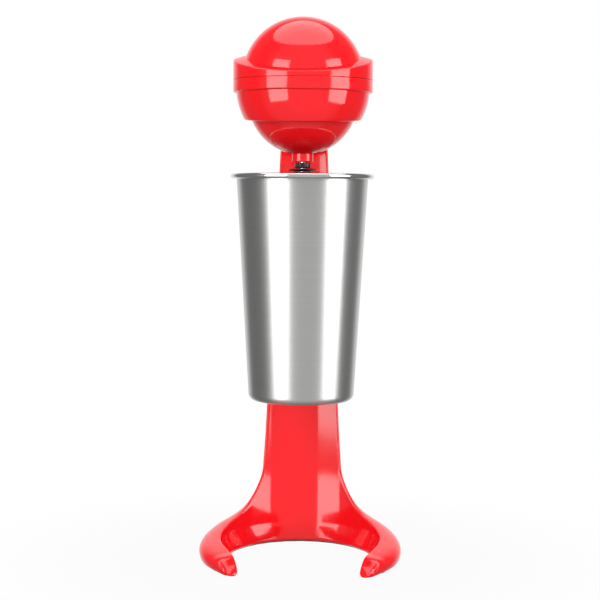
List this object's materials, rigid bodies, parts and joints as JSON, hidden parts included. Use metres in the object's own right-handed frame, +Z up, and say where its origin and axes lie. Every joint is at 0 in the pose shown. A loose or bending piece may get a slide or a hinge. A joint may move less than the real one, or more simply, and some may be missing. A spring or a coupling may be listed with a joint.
{
  "type": "milkshake mixer",
  "caption": "Counter-top milkshake mixer: a red horseshoe stand and column, a ball-shaped motor head, and a steel cup hung by its rim around a turning agitator.",
  "frame": {"origin": "middle of the footprint, on the table", "axes": "+Z up, the front with the open side of the horseshoe faces -Y, +X to the right as seen from the front"},
  "size_m": [0.1254, 0.1228, 0.3357],
  "materials": {
    "red_plastic": "gloss",
    "black_plastic": "satin",
    "rubber": "matte",
    "brushed_cup": "horizontally brushed",
    "bright_steel": "polished",
    "screw_steel": "satin",
    "motor_iron": "satin",
    "magnet": "matte",
    "copper": "satin",
    "carbon": "matte",
    "circuit_board": "satin"
  },
  "bodies": {
    "stand": {"stand_shell": "red_plastic", "column_back_cover": "red_plastic", "cup_hook": "red_plastic", "cup_rest": "red_plastic", "head_ring": "red_plastic", "dome_cover": "red_plastic", "motor_bowl": "red_plastic", "base_plate": "black_plastic", "rocker_housing": "black_plastic", "microswitch": "black_plastic", "motor_end_cap": "black_plastic", "foot_pad_1": "rubber", "foot_pad_2": "rubber", "foot_pad_3": "rubber", "foot_pad_4": "rubber", "cord_grommet": "rubber", "cup_rest_pad": "rubber", "collar_seal": "rubber", "lower_bearing": "bright_steel", "upper_bearing": "bright_steel", "cup_switch_spring": "bright_steel", "rocker_pin": "bright_steel", "motor_plate": "bright_steel", "base_screw_1": "screw_steel", "base_screw_2": "screw_steel", "base_screw_3": "screw_steel", "base_screw_4": "screw_steel", "cover_screw_1": "screw_steel", "cover_screw_2": "screw_steel", "hook_screw_1": "screw_steel", "hook_screw_2": "screw_steel", "rest_screw": "screw_steel", "arm_screw_1": "screw_steel", "arm_screw_2": "screw_steel", "dome_screw_1": "screw_steel", "dome_screw_2": "screw_steel", "bowl_screw_1": "screw_steel", "bowl_screw_2": "screw_steel", "motor_screw_1": "screw_steel", "motor_screw_2": "screw_steel", "motor_can": "motor_iron", "motor_magnet_1": "magnet", "motor_magnet_2": "magnet", "motor_brush_1": "carbon", "motor_brush_2": "carbon", "rectifier_board": "circuit_board"},
    "spindle": {"armature_core": "motor_iron", "armature_windings": "copper", "commutator": "copper", "motor_shaft": "bright_steel", "cooling_fan": "black_plastic", "drive_coupling": "black_plastic", "splash_disc": "black_plastic", "agitator_hub": "black_plastic", "agitator_shaft": "bright_steel", "agitator_disc": "bright_steel"},
    "cup": {"mixing_cup": "brushed_cup"},
    "cup_button": {"cup_switch_button": "black_plastic"},
    "rocker": {"speed_rocker": "black_plastic"}
  },
  "joints": [
    {"name": "spindle_spin", "type": "hinge", "parent": "stand", "child": "spindle", "pos_m": [0, -0.01388, 0.25], "axis": [0, 0, 1], "continuous": true},
    {"name": "cup_lift", "type": "slide", "parent": "stand", "child": "cup", "axis": [0, 0, 1], "range_m": [0, 0.008]},
    {"name": "cup_button_press", "type": "slide", "parent": "stand", "child": "cup_button", "axis": [0, 1, 0], "range_m": [0, 0.002], "stiffness_N_per_m": 300, "deforming": ["cup_switch_spring"]},
    {"name": "rocker_tilt", "type": "hinge", "parent": "stand", "child": "rocker", "pos_m": [0, 0.05171, 0.272], "axis": [1, 0, 0], "range_deg": [-8, 8]}
  ]
}
